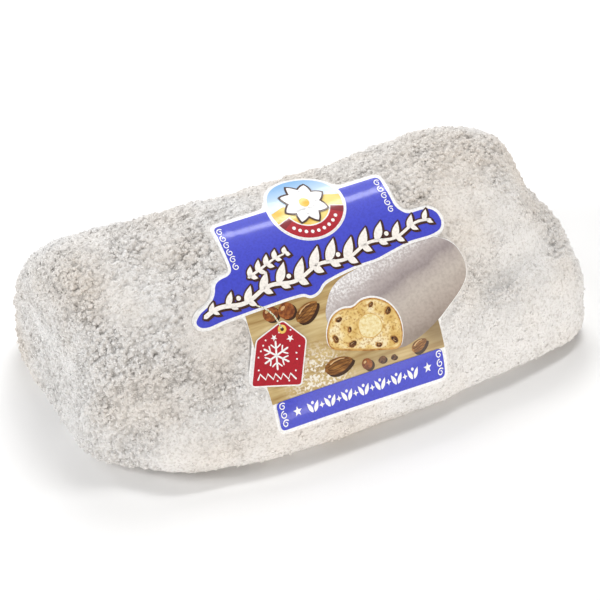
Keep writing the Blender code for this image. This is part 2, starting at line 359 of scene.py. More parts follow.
# where loose sugar may stick: fewer where the crust is calm, none under the label
def makeLanding():
    faces = sugarCrust.data.polygons
    centres = valuesOf(faces, "center", 3)
    chance = np.array([face.area for face in faces])
    chance *= clearOfLabel(centres, *grains["labelMargin"]) > 0.9
    chance *= centres[:, 2] > grains["lowest"] * mm
    chance *= roughnessOf(centres)
    return centres, valuesOf(faces, "normal", 3), chance / chance.sum()


def scatterSugar(name, settings, landing):
    draw = np.random.default_rng(settings["seed"])
    bpy.ops.object.select_all(action='DESELECT')
    bpy.ops.mesh.primitive_ico_sphere_add(subdivisions=1, radius=1)
    piece = bpy.context.active_object
    piece.name = name
    corners = positionsOf(piece)
    faces = np.array([face.vertices[:] for face in piece.data.polygons])
    centres, normals, chance = landing
    count = settings["count"]
    chosen = draw.choice(len(centres), size=count, replace=False, p=chance)
    low, high = settings["widths"]
    sizes = (low + (high - low) * draw.random(count) ** grains["smallness"]) / 2 * mm
    shapes = corners[None] * draw.uniform(*grains["corners"], (count, len(corners), 1))
    shapes *= draw.uniform(*grains["sides"], (count, 1, 3))
    turns = np.linalg.qr(draw.normal(size=(count, 3, 3)))[0]
    turns[np.linalg.det(turns) < 0, 0] *= -1
    shapes = shapes @ turns * sizes[:, None, None]
    feet = centres[chosen] - normals[chosen] * sizes[:, None] * settings["sunk"]
    places = (shapes + feet[:, None]).reshape(-1, 3)
    starts = np.arange(count)[:, None, None] * len(corners)
    mesh = bpy.data.meshes.new(name)
    mesh.from_pydata(places, [], (faces[None] + starts).reshape(-1, 3))
    piece.data = mesh
    piece.data.materials.append(sugarMaterial)
    shadeSmooth(piece)
    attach(piece, "root")


sugarLanding = makeLanding()
for name, settings in sugarLoose.items():
    scatterSugar(name, settings, sugarLanding)
print("loose sugar")


# a smooth form of the loaf's front, which every layer of the label is laid on
def makeLabelGuide():
    left, right, low, high = labelPlane["guideArea"]
    centre = labelZero + ((left + right) / 2 * alongLabel + (low + high) / 2 * upLabel) * mm
    bpy.ops.object.select_all(action='DESELECT')
    bpy.ops.mesh.primitive_grid_add(
        x_subdivisions=round((right - left) / labelPlane["guideCell"]),
        y_subdivisions=round((high - low) / labelPlane["guideCell"]),
        size=1, location=centre + outOfLabel * (labelPlane["guideHeight"] * mm),
        rotation=(lean, 0, 0))
    guide = bpy.context.active_object
    guide.scale = ((right - left) * mm, (high - low) * mm, 1)
    applyModifier(guide, 'SHRINKWRAP', target=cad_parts["stollen_loaf"],
                  wrap_method='PROJECT', use_project_z=True,
                  use_negative_direction=True, use_positive_direction=False)
    bpy.ops.object.transform_apply(location=True, rotation=True, scale=True)
    applyModifier(guide, 'CORRECTIVE_SMOOTH', factor=0.5, use_only_smooth=True,
                  use_pin_boundary=True, iterations=labelPlane["guideSmoothing"])
    tree = BVHTree.FromPolygons([v.co.copy() for v in guide.data.vertices],
                                [p.vertices[:] for p in guide.data.polygons])
    bpy.data.objects.remove(guide, do_unlink=True)
    return tree


labelGuide = makeLabelGuide()
print("label guide")


# outlines for flat artwork, lists of points in millimetres
def placed(outline, centre, degrees=0):
    c, s = math.cos(math.radians(degrees)), math.sin(math.radians(degrees))
    return [(centre[0] + x * c - y * s, centre[1] + x * s + y * c) for x, y in outline]


def ring(centre, radius, squash=1.0, degrees=0, count=40):
    outline = [(radius * math.cos(math.tau * step / count),
                radius * squash * math.sin(math.tau * step / count)) for step in range(count)]
    return placed(outline, centre, degrees)


def star(centre, radius, points=5, waist=0.42, degrees=0):
    outline = []
    for step in range(points * 2):
        reach = radius if step % 2 == 0 else radius * waist
        angle = math.pi / 2 + math.pi * step / points
        outline.append((reach * math.cos(angle), reach * math.sin(angle)))
    return placed(outline, centre, degrees)


# "blunt" below 1 rounds the ends, as on an almond, and "bend" curves its length
def leaf(base, length, width, degrees, blunt=1.0, bend=0.0, steps=16):
    upper, lower = [], []
    for step in range(steps + 1):
        t = step / steps
        half = width / 2 * max(0.0, math.sin(math.pi * t ** 0.8)) ** blunt
        middle = bend * length * t * t
        upper.append((t * length, middle + half))
        lower.append((t * length, middle - half))
    return placed(upper + lower[-2:0:-1], base, degrees)


# a drawn line: a band round a path that may change its width on the way
def stroke(path, width, endWidth=None):
    endWidth = width if endWidth is None else endWidth
    path = [Vector(point) for point in path]
    left, right = [], []
    for index, point in enumerate(path):
        ahead = path[min(index + 1, len(path) - 1)] - path[max(index - 1, 0)]
        side = Vector((-ahead.y, ahead.x)).normalized()
        half = (width + (endWidth - width) * index / (len(path) - 1)) / 2
        left.append(point + side * half)
        right.append(point - side * half)
    first = path[0] + (path[0] - path[1]).normalized() * width / 2
    last = path[-1] + (path[-1] - path[-2]).normalized() * endWidth / 2
    return [tuple(point) for point in [first] + right + [last] + left[::-1]]


# a scroll that winds in to about a quarter of its radius
def curl(centre, radius, degrees, turns=1.2, width=0.42, steps=21):
    path = []
    for step in range(steps + 1):
        t = step / steps
        angle = math.radians(degrees) + math.tau * turns * t
        reach = radius * (1 - 0.72 * t)
        path.append((centre[0] + reach * math.cos(angle), centre[1] + reach * math.sin(angle)))
    return stroke(path, width, width * 0.8)


def anticlockwise(outline):
    ahead = outline[1:] + outline[:1]
    area = sum(a[0] * b[1] - b[0] * a[1] for a, b in zip(outline, ahead))
    return outline if area > 0 else outline[::-1]


def roundCorners(corners, radius=3.0, steps=4):
    rounded = []
    for index, corner in enumerate(corners):
        corner = Vector(corner)
        before = Vector(corners[index - 1]) - corner
        after = Vector(corners[(index + 1) % len(corners)]) - corner
        start = corner + before.normalized() * min(radius, 0.45 * before.length)
        end = corner + after.normalized() * min(radius, 0.45 * after.length)
        for step in range(steps + 1):
            t = step / steps
            rounded.append(tuple(start * (1 - t) ** 2 + corner * 2 * t * (1 - t) + end * t ** 2))
    return rounded


# the same outline, wider by "amount" all round and moved by "shift"
def grown(outline, amount, shift=(0, 0)):
    outline = anticlockwise(outline)
    result = []
    for index, point in enumerate(outline):
        point = Vector(point)
        back = (point - Vector(outline[index - 1])).normalized()
        ahead = (Vector(outline[(index + 1) % len(outline)]) - point).normalized()
        outward = Vector((back.y + ahead.y, -back.x - ahead.x)).normalized()
        corner = max(0.6, math.sqrt(max(0.0, (1 + back.dot(ahead)) / 2)))
        result.append(tuple(point + outward * amount / corner + Vector(shift)))
    return result


# flat faces of the outlines, cut into cells so that they can bend
def flatPiece(name, outlines, cell):
    parts = []
    for outline in outlines:
        bpy.ops.object.select_all(action='DESELECT')
        bpy.ops.mesh.primitive_circle_add(vertices=len(outline), radius=1, fill_type='NGON')
        part = bpy.context.active_object
        setPositions(part, np.array([(x, y, 0) for x, y in anticlockwise(outline)]) * mm)
        parts.append(part)
    for part in parts:
        part.select_set(True)
    if len(parts) > 1:
        bpy.ops.object.join()
    piece = bpy.context.active_object
    piece.name = name
    places = positionsOf(piece) / mm
    offGrid = 0.013          # keeps the cuts off points at whole cells
    bpy.ops.object.mode_set(mode='EDIT')
    bpy.ops.mesh.select_all(action='SELECT')
    bpy.ops.mesh.quads_convert_to_tris()
    for axis in (0, 1):
        first = math.floor(places[:, axis].min() / cell) + 1
        last = math.ceil(places[:, axis].max() / cell)
        for line in range(first, last):
            spot, facing = [0, 0, 0], [0, 0, 0]
            spot[axis] = (line + offGrid) * cell * mm
            facing[axis] = 1
            bpy.ops.mesh.select_all(action='SELECT')
            bpy.ops.mesh.bisect(plane_co=spot, plane_no=facing)
    bpy.ops.object.mode_set(mode='OBJECT')
    return piece


label = {
    "paperLift": 0.62,       # its printed face above the sugar
    "paperThickness": 0.25,
    "inkStep": 0.045,        # each colour lies this much above the one below
    "inkThickness": 0.035,
    "cell": 1.6,             # it bends to the loaf at every such distance
    "dropHeight": 120,       # its points drop onto the loaf from here
    "creaseAngle": 40,
}


def layOnLoaf(piece, lift, thickness, material):
    above = labelZero + outOfLabel * (label["dropHeight"] * mm)
    for vertex in piece.data.vertices:
        start = above + alongLabel * vertex.co.x + upLabel * vertex.co.y
        place, facing, _, _ = labelGuide.ray_cast(start, -outOfLabel)
        vertex.co = place + facing * lift * mm
    applyModifier(piece, 'SOLIDIFY', thickness=thickness * mm, offset=-1)
    onlyActive(piece)
    bpy.ops.object.shade_smooth_by_angle(angle=math.radians(label["creaseAngle"]))
    piece.data.materials.append(material)
    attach(piece, "root")


def layInk(name, layer, material, outlines):
    piece = flatPiece("label_" + name, outlines, label["cell"])
    lift = label["paperLift"] + layer * label["inkStep"]
    layOnLoaf(piece, lift, label["inkThickness"], material)


# Offset print under a clear varnish: a soft gloss, slightly uneven where the paper
# gives over the sugar, and faint mottling in each colour. "place" is in millimetres
# along and up the label.
varnish = {"Roughness": 0.5, "Specular_IOR_Level": 0.3, "Coat_Weight": 0.34,
           "Coat_Roughness": 0.12}
unevenness = {"size": 7.0, "depth": 0.12, "strength": 0.5}
mottling = {"size": 0.8, "shade": 0.94}


def printMaterial(name):
    material, tree, shader = newMaterial(name, **varnish)
    zero = Matrix.Rotation(-lean, 3, 'X') @ labelZero / mm
    place = addNode(tree, "Mapping", {
        "Vector": addNode(tree, "TexCoord", {}, "Object"),
        "Location": -zero, "Rotation": (-lean, 0, 0), "Scale": (1 / mm,) * 3})
    rises = addNode(tree, "TexNoise", {
        "Vector": place, "Scale": 1 / unevenness["size"], "Detail": 2.0})
    bump = addNode(tree, "Bump", {"Height": rises, "Strength": unevenness["strength"],
                                  "Distance": unevenness["depth"] * mm})
    tree.links.new(bump, shader.inputs["Normal"])
    return material, tree, shader, place


# one tone of a printed picture: inks mixed by a grain of a real size
def picture(name, size, stops, length=1, turn=0):
    material, tree, shader, place = printMaterial(name)
    colour = grainColours(tree, place, size, stops, 3.0, length, turn)
    tree.links.new(colour, shader.inputs["Base Color"])
    return material


def ink(name, hexText):
    shade = darker(hexText, mottling["shade"])
    return picture(name, mottling["size"], [(0.36, shade), (0.58, hexText)])


# Printed boards: long grain, darker in the shade of what lies on them, with sugar spilt
# at the left.
boards = {
    "grain": {"size": 1.3, "detail": 4.0, "length": 16, "turn": 4,
              "stops": [(0.30, "#B0915C"), (0.50, "#CBB37F"), (0.70, "#DCCA9A")]},
    "broad": {"size": 7.0, "detail": 2.0, "length": 3,
              "stops": [(0.35, "#DDD2BC"), (0.60, "#FFFFFF")]},
    "broadShare": 0.8,
    # centre, reach, colour and strength; None spreads it in grains
    "spots": [((29, -11), 13, "#7A6440", 0.8), ((4, -15), 10, "#7A6440", 0.3),
              ((-22, -1), 9, "#7A6440", 0.25), ((-17, -17.5), 15, "#F1ECE0", None)],
    "spiltGrain": 0.9,
}


def boardPrint():
    material, tree, shader, place = printMaterial("printed wood boards")
    grain = grainColours(tree, place, **boards["grain"])
    broad = grainColours(tree, place, **boards["broad"])
    colour = addNode(tree, "Mix", {0: boards["broadShare"], 6: grain, 7: broad}, **multiplying)
    flat = addNode(tree, "VectorMath", {0: place, 1: (1, 1, 0)}, operation='MULTIPLY')
    spilt = addNode(tree, "TexNoise", {
        "Vector": place, "Scale": 1 / boards["spiltGrain"], "Detail": 3.0})
    spilt = addNode(tree, "MapRange", {"Value": spilt, "From Min": 0.46, "From Max": 0.6},
                    interpolation_type='SMOOTHSTEP')
    for centre, reach, hexText, strength in boards["spots"]:
        distance = addNode(tree, "VectorMath", {0: flat, 1: (*centre, 0)}, "Value",
                           operation='DISTANCE')
        spot = addNode(tree, "MapRange", {
            "Value": distance, "From Min": reach, "From Max": 0.25 * reach},
            interpolation_type='SMOOTHSTEP')
        share = addNode(tree, "Math", {0: spot, 1: spilt if strength is None else strength},
                        operation='MULTIPLY')
        colour = addNode(tree, "Mix", {0: share, 6: colour, 7: hexText}, **mixing)
    tree.links.new(colour, shader.inputs["Base Color"])
    return material


# A printed loaf under sugar: white at the top, a soft dark fold, warm grey below.
dusted = {
    "turn": -17, "wanderSize": 7.0, "wander": 5.0,
    "heights": (-19.0, 12.0), "sugarHeights": (2.0, 11.0), "sugarGrain": 0.7,
    "shading": [
        (0.00, "#96897F"), (0.16, "#B7ABA2"), (0.36, "#C6BDB4"), (0.50, "#B9AFAA"),
        (0.58, "#9E9494"), (0.68, "#B3A9A8"), (0.84, "#C8C1C0"), (1.00, "#E3E1E2")],
    "sugar": "#F8F8F9", "fine": [(0.3, "#DAD6D6"), (0.6, "#FFFFFF")],
}


def dustedPrint():
    material, tree, shader, place = printMaterial("printed sugared loaf")
    turned = addNode(tree, "Mapping", {
        "Vector": place, "Rotation": (0, 0, math.radians(dusted["turn"]))})
    up = addNode(tree, "SeparateXYZ", {"Vector": turned}, "Y")
    cloud = addNode(tree, "TexNoise", {
        "Vector": place, "Scale": 1 / dusted["wanderSize"], "Detail": 3.0})
    wander = addNode(tree, "Math", {0: cloud, 1: dusted["wander"], 2: -dusted["wander"] / 2},
                     operation='MULTIPLY_ADD')
    height = addNode(tree, "Math", {0: up, 1: wander}, operation='ADD')
    low, high = dusted["heights"]
    share = addNode(tree, "MapRange", {"Value": height, "From Min": low, "From Max": high})
    shading = addNode(tree, "ValToRGB", {"Fac": share}, stops=dusted["shading"])
    low, high = dusted["sugarHeights"]
    topmost = addNode(tree, "MapRange", {"Value": height, "From Min": low, "From Max": high},
                      interpolation_type='SMOOTHSTEP')
    grain = addNode(tree, "TexNoise", {
        "Vector": place, "Scale": 1 / dusted["sugarGrain"], "Detail": 3.0})
    grain = addNode(tree, "MapRange", {"Value": grain, "From Min": 0.45, "From Max": 0.6},
                    interpolation_type='SMOOTHSTEP')
    sugar = addNode(tree, "Math", {0: topmost, 1: grain}, operation='MULTIPLY')
    colour = addNode(tree, "Mix", {0: sugar, 6: shading, 7: dusted["sugar"]}, **mixing)
    fine = grainColours(tree, place, 1.0, dusted["fine"])
    colour = addNode(tree, "Mix", {0: 0.5, 6: colour, 7: fine}, **multiplying)
    tree.links.new(colour, shader.inputs["Base Color"])
    return material


# Printed crumb: marbled yellow dough with fine browner pores.
def crumbPrint():
    material, tree, shader, place = printMaterial("printed cake crumb")
    dough = grainColours(tree, place, 4.5, [
        (0.36, "#D8B468"), (0.50, "#EACF8C"), (0.64, "#F6EAC4")], 2.0)
    pores = grainColours(tree, place, 0.8, [(0.36, "#BE9149"), (0.50, "#FFFFFF")], 4.0)
    colour = addNode(tree, "Mix", {0: 0.7, 6: dough, 7: pores}, **multiplying)
    tree.links.new(colour, shader.inputs["Base Color"])
    return material


# Sky over pale fields: deep at the rim, nearly white in the middle.
def skyPrint():
    material, tree, shader, place = printMaterial("printed sky")
    up = addNode(tree, "SeparateXYZ", {"Vector": place}, "Y")
    share = addNode(tree, "MapRange", {"Value": up, "From Min": 36.0, "From Max": 52.0})
    colour = addNode(tree, "ValToRGB", {"Fac": share}, stops=[
        (0.0, "#F2F7FB"), (0.45, "#CFE3F6"), (1.0, "#7DB4E6")])
    tree.links.new(colour, shader.inputs["Base Color"])
    return material


whitePaper = ink("coated label paper", "#FBFBFA")
blueInk = ink("violet blue ink", "#464DCC")
whiteInk = ink("opaque white ink", "#FBFBFB")
creamInk = ink("warm white ink", "#FBF7F1")
brownInk = ink("dark brown ink", "#47281F")
redInk = ink("cherry red ink", "#B01C2C")
darkRedInk = ink("shaded red ink", "#861422")
goldInk = picture("golden field ink", 5.0, [(0.35, "#E6B52A"), (0.62, "#F3DD84")])
marzipanPrint = picture("printed marzipan", 1.0, [(0.35, "#E3CB88"), (0.62, "#F4E8BC")])
rimPrint = picture("printed dark rim", 1.6, [(0.35, "#A2692B"), (0.62, "#CF9F58")])
bakedPrint = picture("printed baked edge", 1.2, [(0.35, "#D0A558"), (0.62, "#E6C985")])
raisinPrint = picture("printed raisins", 0.8, [(0.36, "#2F190C"), (0.66, "#83552C")])
almondPrint = picture("printed almond skin", 0.8, [
    (0.34, "#5A3310"), (0.52, "#8B5A27"), (0.70, "#B5803F")], 5, -12)
hazelPrint = picture("printed hazelnut", 1.2, [(0.35, "#6B3312"), (0.65, "#A8622C")])
nutLightPrint = ink("printed nut highlight", "#D6AD78")
nutDarkPrint = ink("printed nut groove", "#3C210B")
twinePrint = picture("printed twine", 0.5, [(0.40, "#8E9A55"), (0.55, "#F0EBDA")])

labelPaper = flatPiece("label_paper", [roundCorners(dieCut)], label["cell"])
layOnLoaf(labelPaper, label["paperLift"], label["paperThickness"], whitePaper)
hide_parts("label")
print("label paper")

# the printed fields: boards, a sugared loaf, and the blue top and foot
fields = {
    "board": [(-34.9, 12.2), (-34.9, -19.7), (29.2, -19.6), (29.2, 16.0)],
    "cake": [
        (-4.5, 9.5), (0.0, 12.4), (6.4, 13.6), (12.7, 14.7), (19.2, 15.2), (26.4, 16.4),
        (36.5, 16.4), (41.3, 13.8), (44.0, 10.4), (45.1, 4.7), (43.7, -0.1), (40.3, -3.5),
        (34.6, -7.3), (29.2, -10.8), (22.0, -14.0), (14.0, -16.0), (4.0, -12.0), (-8.0, -5.0),
        (-8.6, 2.6)],
    "blue": [
        (-33.7, 41.8), (-34.0, 26.2), (-35.7, 24.5), (-39.3, 24.2), (-41.4, 22.9), (-42.4, 20.1),
        (-45.3, 17.1), (-49.0, 15.9), (-51.9, 13.4), (-50.8, 11.3), (-47.9, 10.6), (-42.6, 11.2),
        (-31.2, 11.5), (-19.0, 11.7), (-13.2, 11.5), (-11.3, 9.9), (-8.3, 10.4), (-5.6, 13.0),
        (1.1, 14.2), (8.0, 14.9), (15.0, 14.8), (21.0, 15.9), (28.0, 17.1), (36.5, 16.8),
        (40.5, 17.6), (42.1, 20.2), (41.5, 23.6), (39.3, 25.7), (35.7, 26.0), (31.0, 25.9),
        (28.1, 29.4), (27.9, 41.8)],
    "foot": [(-33.8, -19.6), (-33.9, -28.2), (28.1, -28.2), (27.9, -19.5)],
    "border": 0.95, "cornerRadius": 1.8,
}
blueFields = [roundCorners(fields[name], fields["cornerRadius"]) for name in ("blue", "foot")]
layInk("board", 1, boardPrint(), [fields["board"]])
layInk("cake", 2, dustedPrint(), [roundCorners(fields["cake"])])
layInk("blue_border", 5, whiteInk, [grown(roundCorners(fields["blue"]), fields["border"])])
layInk("blue", 6, blueInk, blueFields)

# the printed loaf's cut face: a low and a high lobe round a marzipan core, with raisins
cakeSlice = {
    "centre": (3.6, -4.6), "turn": -15, "sugar": 0.3, "rim": 0.45, "bake": 0.8, "coreEdge": 0.35,
    "outline": [(-12.8, -8.0), (0.0, -8.7), (12.4, -8.4), (13.5, -3.2), (12.4, 2.8), (8.8, 7.2),
                (3.8, 9.0), (-0.8, 8.2), (-3.6, 5.6), (-7.6, 5.7), (-11.6, 3.1), (-13.6, -2.6)],
    "core": [(-1.8, -3.8), (2.8, -4.6), (6.4, -1.6), (5.2, 2.4), (1.2, 3.8), (-2.2, 1.4)],
    # one raisin and the light on it, in parts of its width
    "raisin": [(-0.5, -0.12), (-0.16, -0.33), (0.24, -0.24), (0.5, 0.04), (0.3, 0.3),
               (-0.1, 0.22), (-0.36, 0.28)],
    "light": [(-0.22, 0.06), (0.0, 0.12), (0.18, 0.1)], "raisinCorners": 0.12,
    # x, y, width and turn
    "raisins": [(8.6, 4.2, 2.9, 60), (-8.8, 1.9, 2.4, 15), (-10.4, -4.4, 2.8, 110),
                (-4.6, -6.3, 3.1, 20), (-5.3, -1.6, 1.9, 75), (10.2, -5.2, 3.0, 140),
                (4.6, -6.9, 2.2, -10), (2.7, 6.4, 2.1, 35)],
}


def onSlice(outline):
    return placed(outline, cakeSlice["centre"], cakeSlice["turn"])


def onRaisin(points, x, y, width, turn):
    return placed([(width * a, width * b) for a, b in points], (x, y), turn)


sliceEdge = onSlice(roundCorners(cakeSlice["outline"], 3.2))
coreShape = onSlice(roundCorners(cakeSlice["core"], 2.4))
raisinShapes, raisinLights = [], []
for raisin in cakeSlice["raisins"]:
    corners = onRaisin(cakeSlice["raisin"], *raisin)
    radius = cakeSlice["raisinCorners"] * raisin[2]
    raisinShapes.append(onSlice(roundCorners(corners, radius, 2)))
    raisinLights.append(stroke(onSlice(onRaisin(cakeSlice["light"], *raisin)), 0.2, 0.1))
layInk("slice_sugar", 3, whiteInk, [grown(sliceEdge, cakeSlice["sugar"], (0.1, 0.35))])
layInk("slice_rim", 4, rimPrint, [sliceEdge])
layInk("slice_bake", 5, bakedPrint, [grown(sliceEdge, -cakeSlice["rim"])])
layInk("slice", 6, crumbPrint(), [grown(sliceEdge, -cakeSlice["bake"])])
layInk("slice_core_edge", 7, bakedPrint, [grown(coreShape, cakeSlice["coreEdge"])])
layInk("slice_core", 8, marzipanPrint, [coreShape])
layInk("raisin_pits", 7, rimPrint, [grown(shape, 0.22, (-0.1, 0.12)) for shape in raisinShapes])
layInk("raisins", 8, raisinPrint, raisinShapes)
layInk("raisin_lights", 9, nutLightPrint, raisinLights)

# almonds: stem end, length, width, turn; hazelnuts and raisins: centre, radius
nuts = {
    "almonds": [(-18.4, 3.4, 9.6, 5.0, 26), (-14.6, -15.0, 10.6, 5.0, 6),
                (17.2, -17.6, 6.4, 3.4, 20)],
    "hazelnuts": [(-26.4, 8.6, 2.7), (-20.8, 7.9, 2.9), (0.4, -17.0, 1.9)],
    "raisins": [(6.0, -17.2, 1.5), (10.2, -17.6, 1.1)],
    "almondBlunt": 0.62, "hazelSquash": 0.94, "raisinSquash": 0.7,
}
almondShapes, hazelShapes, looseRaisins = [], [], []
shadows, highlights, grooves = [], [], []
for x, y, length, width, turn in nuts["almonds"]:
    almondShapes.append(leaf((x, y), length, width, turn, nuts["almondBlunt"]))
    shadows.append(leaf((x + 0.7, y - 0.9), length, width, turn, nuts["almondBlunt"]))
    for offset in (-0.2, 0.05, 0.28):
        groove = [(t * length, width * offset * math.sin(math.pi * t))
                  for t in (0.12, 0.3, 0.5, 0.7, 0.88)]
        grooves.append(stroke(placed(groove, (x, y), turn), 0.16, 0.1))
    light = [(t * length, width * 0.36 * math.sin(math.pi * t)) for t in (0.25, 0.4, 0.6, 0.75)]
    highlights.append(stroke(placed(light, (x, y), turn), 0.5, 0.3))
for x, y, radius in nuts["hazelnuts"]:
    hazelShapes.append(ring((x, y), radius, nuts["hazelSquash"], 0, 24))
    shadows.append(ring((x + 0.7, y - 0.7), radius, nuts["hazelSquash"], 0, 24))
    highlights.append(ring((x - radius * 0.35, y + radius * 0.4), radius * 0.32, 0.6, 30, 14))
for x, y, radius in nuts["raisins"]:
    looseRaisins.append(ring((x, y), radius, nuts["raisinSquash"], 15, 16))
    shadows.append(ring((x + 0.4, y - 0.4), radius, nuts["raisinSquash"], 0, 16))
layInk("nut_shadows", 2, nutDarkPrint, shadows)
layInk("almonds", 3, almondPrint, almondShapes)
layInk("hazelnuts", 3, hazelPrint, hazelShapes)
layInk("loose_raisins", 3, raisinPrint, looseRaisins)
layInk("nut_grooves", 4, nutDarkPrint, grooves)
layInk("nut_highlights", 5, nutLightPrint, highlights)
print("label picture")

# a leafy garland across the blue field, warm white with a brown edge and drop shadow
garland = {
    "start": (-48.0, 14.1), "end": (38.2, 21.9), "waves": 4.5, "waveHeight": 1.0,
    "stem": (1.5, 0.9), "pairs": 14, "firstPair": 0.02, "pairsRun": 0.95,
    # how far on it starts, length, what the middle adds to that, width, turn and bend
    "leaves": [(0.0, 3.6, 4.9, 3.3, 44, 0.16), (0.012, 2.7, 1.4, 2.5, -30, -0.12)],
    "endWidth": 0.5, "berry": 0.8, "edge": 0.5, "shadow": (0.3, -0.4),
    "twig": [(-29.6, 22.0), (-26.4, 22.9), (-23.0, 24.0), (-19.4, 25.2), (-15.4, 25.8)],
    "twigStem": (1.0, 0.6), "twigLengths": (3.8, 4.2, 4.0, 3.4, 2.6),
    # how far on it starts, share of the length, width, turn and bend
    "twigLeaves": [(0.0, 1.0, 1.9, 52, 0.16), (0.6, 0.7, 1.6, -20, -0.12)],
}


def garlandPoint(t):
    (x0, y0), (x1, y1) = garland["start"], garland["end"]
    wave = garland["waveHeight"] * math.sin(math.tau * garland["waves"] * t)
    return x0 + (x1 - x0) * t, y0 + (y1 - y0) * t + wave


stem = [garlandPoint(step / 80) for step in range(81)]
vine = [stroke(stem, *garland["stem"])]
for index in range(garland["pairs"]):
    t = garland["firstPair"] + garland["pairsRun"] * index / (garland["pairs"] - 1)
    middle = math.sin(math.pi * t)
    narrowing = garland["endWidth"] + (1 - garland["endWidth"]) * middle
    for ahead, length, extra, width, degrees, bend in garland["leaves"]:
        vine.append(leaf(garlandPoint(t + ahead), length + extra * middle, width * narrowing,
                         degrees, 1.0, bend))
    if index % 3 == 2:          # where the stem dips there is room for a berry
        x, y = garlandPoint(t - 0.012)
        vine.append(ring((x - 0.6, y + 2.2), garland["berry"], 1, 0, 14))
vine.append(stroke(garland["twig"], *garland["twigStem"]))
for (x, y), length in zip(garland["twig"], garland["twigLengths"]):
    for ahead, share, width, degrees, bend in garland["twigLeaves"]:
        vine.append(leaf((x + ahead, y), length * share, width, degrees, 1.0, bend))
edges = [grown(outline, garland["edge"]) for outline in vine]
edges += [grown(outline, garland["edge"], garland["shadow"]) for outline in vine]
layInk("garland_edge", 7, brownInk, edges)
layInk("garland", 8, creamInk, vine)

# a round seal: sky and golden fields, a red ribbon arc and a white rosette
seal = {
    "centre": (-0.6, 39.4), "rim": 13.7, "picture": 12.6, "squash": 0.925,
    "hillTop": [(12.5, 0.6), (8.0, 1.9), (0.0, 0.6)], "hillFoot": (12.55, 11.6),
    # radii inside and outside, and the angles it runs between
    "ribbonEdge": (7.7, 13.2, 198, 342), "ribbon": (8.2, 12.7, 200, 340),
    "folds": [(8.2, 12.7, 200, 211), (8.2, 12.7, 329, 340)],
    "dots": {"reach": 10.4, "radius": 0.62, "angles": range(222, 325, 12)},
    "flower": (-0.6, 40.6), "petals": 8, "petal": (7.6, 4.5), "petalEdge": 0.62, "heart": 1.7,
}


def onSeal(reach, degrees):
    angle = math.radians(degrees)
    return (seal["centre"][0] + reach * math.cos(angle),
            seal["centre"][1] + reach * seal["squash"] * math.sin(angle))


def arcBand(inner, outer, start, end):
    angles = [start + (end - start) * step / 20 for step in range(21)]
    return [onSeal(outer, a) for a in angles] + [onSeal(inner, a) for a in angles[::-1]]


golden = []
for side in (-1, 1):
    hill = [(side * x, y) for x, y in seal["hillTop"]]
    for step in range(13):
        angle = math.radians(-90 + 88 * step / 12)
        across, down = seal["hillFoot"]
        hill.append((side * across * math.cos(angle), down * math.sin(angle)))
    golden.append(placed(hill, seal["centre"]))
petals = [leaf(seal["flower"], *seal["petal"], 360 * step / seal["petals"] + 12, 0.75)
          for step in range(seal["petals"])]
dots = [ring(onSeal(seal["dots"]["reach"], angle), seal["dots"]["radius"], 1, 0, 12)
        for angle in seal["dots"]["angles"]]
layInk("seal_rim", 7, whiteInk, [ring(seal["centre"], seal["rim"], seal["squash"], 0, 64)])
layInk("seal_sky", 8, skyPrint(), [ring(seal["centre"], seal["picture"], seal["squash"], 0, 64)])
layInk("seal_fields", 9, goldInk, golden)
layInk("seal_ribbon_edge", 10, whiteInk, [arcBand(*seal["ribbonEdge"])])
layInk("seal_ribbon", 11, redInk, [arcBand(*seal["ribbon"])])
layInk("seal_ribbon_folds", 12, darkRedInk, [arcBand(*fold) for fold in seal["folds"]])
layInk("seal_ribbon_dots", 12, whiteInk, dots)
layInk("seal_flower_edge", 13, brownInk, [grown(petal, seal["petalEdge"]) for petal in petals])
layInk("seal_flower", 14, whiteInk, petals)
layInk("seal_flower_heart", 15, goldInk, [ring(seal["flower"], seal["heart"], 1, 0, 20)])

# a gift tag at the lower left, with its eyelet and twine
tag = {
    "shape": [(-23.1, 5.1), (-33.5, 1.7), (-39.2, -11.5), (-38.6, -12.1), (-23.8, -16.4),
              (-17.4, -2.9)],
    "cornerRadius": 1.0, "edge": 0.45, "turn": 16,
    "stars": [(-27.6, 0.9, 1.15), (-22.4, -1.0, 1.3)],
    "flake": (-28.6, -4.9), "flakeArm": 4.6, "flakeLines": (0.62, 0.46),
    "zigzag": {"start": (-37.0, -9.6), "run": (12.2, -3.6), "height": 0.95, "width": 0.55},
    "dotRadius": 0.3,
    "dots": [(-31.9, -0.4), (-34.6, -3.6), (-35.8, -7.6), (-20.2, -4.4), (-22.4, -8.2),
             (-24.0, -11.6), (-30.6, 1.0), (-25.4, 2.0), (-21.4, 1.6), (-33.2, -1.9),
             (-21.9, -6.2), (-36.9, -10.4), (-31.0, -12.9), (-27.2, -14.0)],
    "eyelet": (-24.1, 2.7), "eyeletRadii": (1.45, 0.62),
    "twine": [(-24.2, 3.2), (-24.7, 5.2), (-25.4, 7.4), (-26.5, 9.4), (-28.2, 11.2),
              (-30.2, 12.4)],
}
tagShape = roundCorners(tag["shape"], tag["cornerRadius"])
marks = [star((x, y), radius, 5, 0.42, tag["turn"]) for x, y, radius in tag["stars"]]
reach = tag["flakeArm"]
armWidth, branchWidth = tag["flakeLines"]
for arm in range(6):
    turn = tag["turn"] + 60 * arm
    lines = [([(0.2, 0), (reach * 0.5, 0), (reach, 0)], armWidth)]
    for side in (-1, 1):
        branch = [(reach * 0.5, 0), (reach * 0.64, side * 0.9), (reach * 0.78, side * 1.6)]
        lines.append((branch, branchWidth))
    marks += [stroke(placed(line, tag["flake"], turn), width) for line, width in lines]
zigzag = tag["zigzag"]
(x, y), (across, down) = zigzag["start"], zigzag["run"]
points = [(x + across * t / 10, y + down * t / 10 + zigzag["height"] * (1 if t % 2 else -1))
          for t in range(11)]
